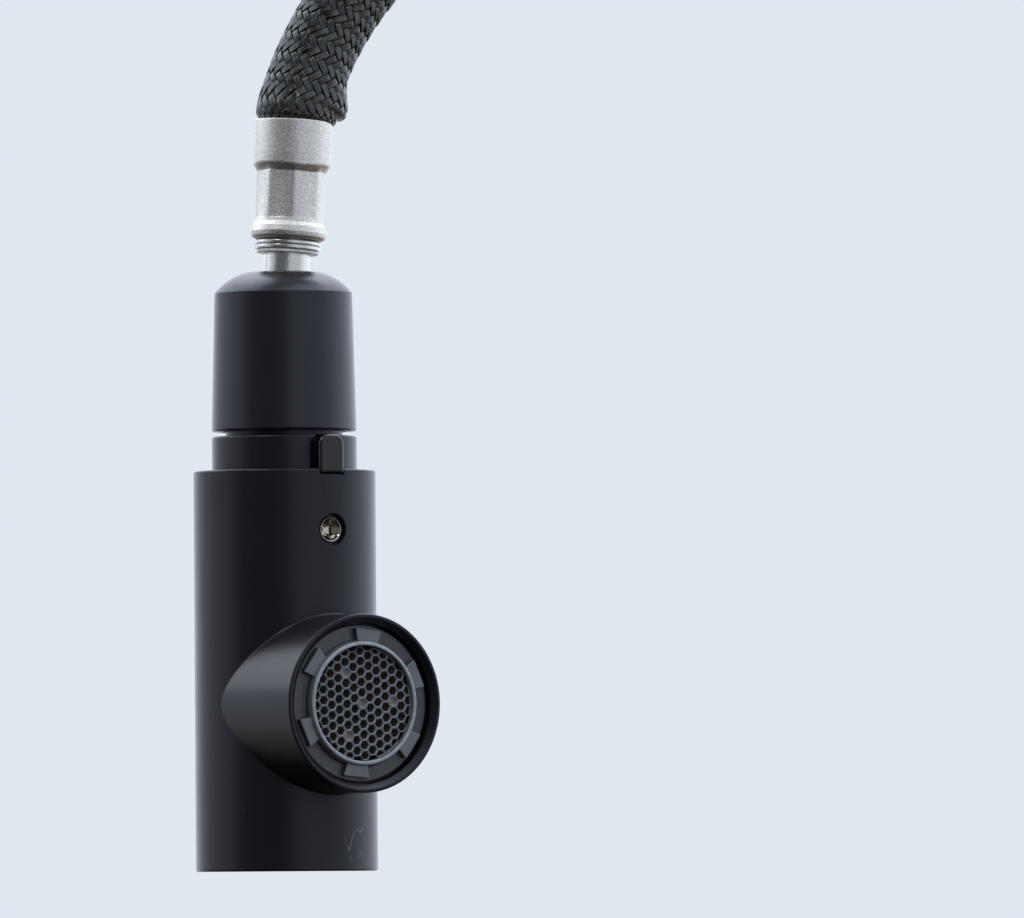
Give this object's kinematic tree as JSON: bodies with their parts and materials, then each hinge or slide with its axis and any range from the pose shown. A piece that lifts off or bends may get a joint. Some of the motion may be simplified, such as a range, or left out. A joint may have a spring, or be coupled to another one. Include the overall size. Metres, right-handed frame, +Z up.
{
  "type": "pull-down faucet spray head",
  "caption": "Cylindrical spray head with a side outlet and aerator, on a ball joint and a coiled braided hose.",
  "frame": {"origin": "the point inside the top of the tied hose coil that a hook or peg carries, straight above the spray head's axis", "axes": "+Z up along the spray head's axis, from the outlet towards the hose; -Y along the outlet, towards the aerator; +X the side that the hose leans to"},
  "size_m": [0.1782, 0.0383, 0.2952],
  "materials": {
    "body_black": "satin black powder coat",
    "cap_black": "satin black powder coat",
    "key_black": "gloss black moulding",
    "stainless": "satin stainless steel",
    "stainless_bright": "bright stainless steel",
    "grey_plastic": "matt grey acetal",
    "dark_plastic": "matt dark plastic",
    "black_rubber": "black rubber",
    "natural_nylon": "natural nylon",
    "mesh": "woven stainless mesh",
    "braid": "black monofilament braid",
    "liner": "milky tube",
    "strap": "black hook-and-loop strap",
    "fibre": "red fibre washer",
    "nickel_brass": "nickel-plated brass"
  },
  "bodies": {
    "hose_side": {"ball_fitting": "stainless_bright", "retaining_clip": "stainless_bright", "neck_washer": "natural_nylon", "crimp_ferrule": "stainless", "hose_sleeve": "braid", "hose_inner_tube": "liner", "hose_coil": "braid", "coil_tie_right": "strap", "coil_tie_left": "strap", "hose_tail": "braid", "end_ferrule": "stainless", "end_nipple": "nickel_brass", "end_gasket": "fibre"},
    "ball_socket": {"ball_bearing_ring": "natural_nylon", "ball_cup_seal": "black_rubber"},
    "spray_head": {"spray_body": "body_black", "docking_collar": "cap_black", "docking_key": "key_black", "collar_set_screw": "stainless_bright", "collar_o_rings": "black_rubber", "check_valve_housing": "natural_nylon", "check_valve_spring": "stainless_bright", "swivel_cap": "cap_black", "aerator_housing": "grey_plastic", "aerator_honeycomb": "grey_plastic", "aerator_screens": "mesh", "aerator_diffuser": "dark_plastic", "flow_regulator": "dark_plastic", "flow_regulator_ring": "black_rubber", "inlet_strainer": "natural_nylon", "aerator_gasket": "black_rubber"},
    "check_valve": {"check_valve_poppet": "natural_nylon", "check_valve_seal": "black_rubber"},
    "connector_nut": {"union_nut": "nickel_brass"}
  },
  "joints": [
    {"name": "head_tilt", "type": "hinge", "parent": "hose_side", "child": "ball_socket", "pos_m": [0, 0, -0.18655], "axis": [0, 1, 0], "range_deg": [-6, 13.8]},
    {"name": "head_swivel", "type": "hinge", "parent": "ball_socket", "child": "spray_head", "pos_m": [0, 0, -0.18655], "axis": [0, 0, 1], "continuous": true},
    {"name": "check_valve_lift", "type": "slide", "parent": "spray_head", "child": "check_valve", "axis": [0, 0, -1], "range_m": [0, 0.002], "stiffness_N_per_m": 60, "springref_m": -0.001, "deforming": ["check_valve_spring"]},
    {"name": "connector_nut_spin", "type": "hinge", "parent": "hose_side", "child": "connector_nut", "pos_m": [-0.08916, 0.0065, -0.09276], "axis": [-0.342, 0, -0.9397], "continuous": true}
  ]
}
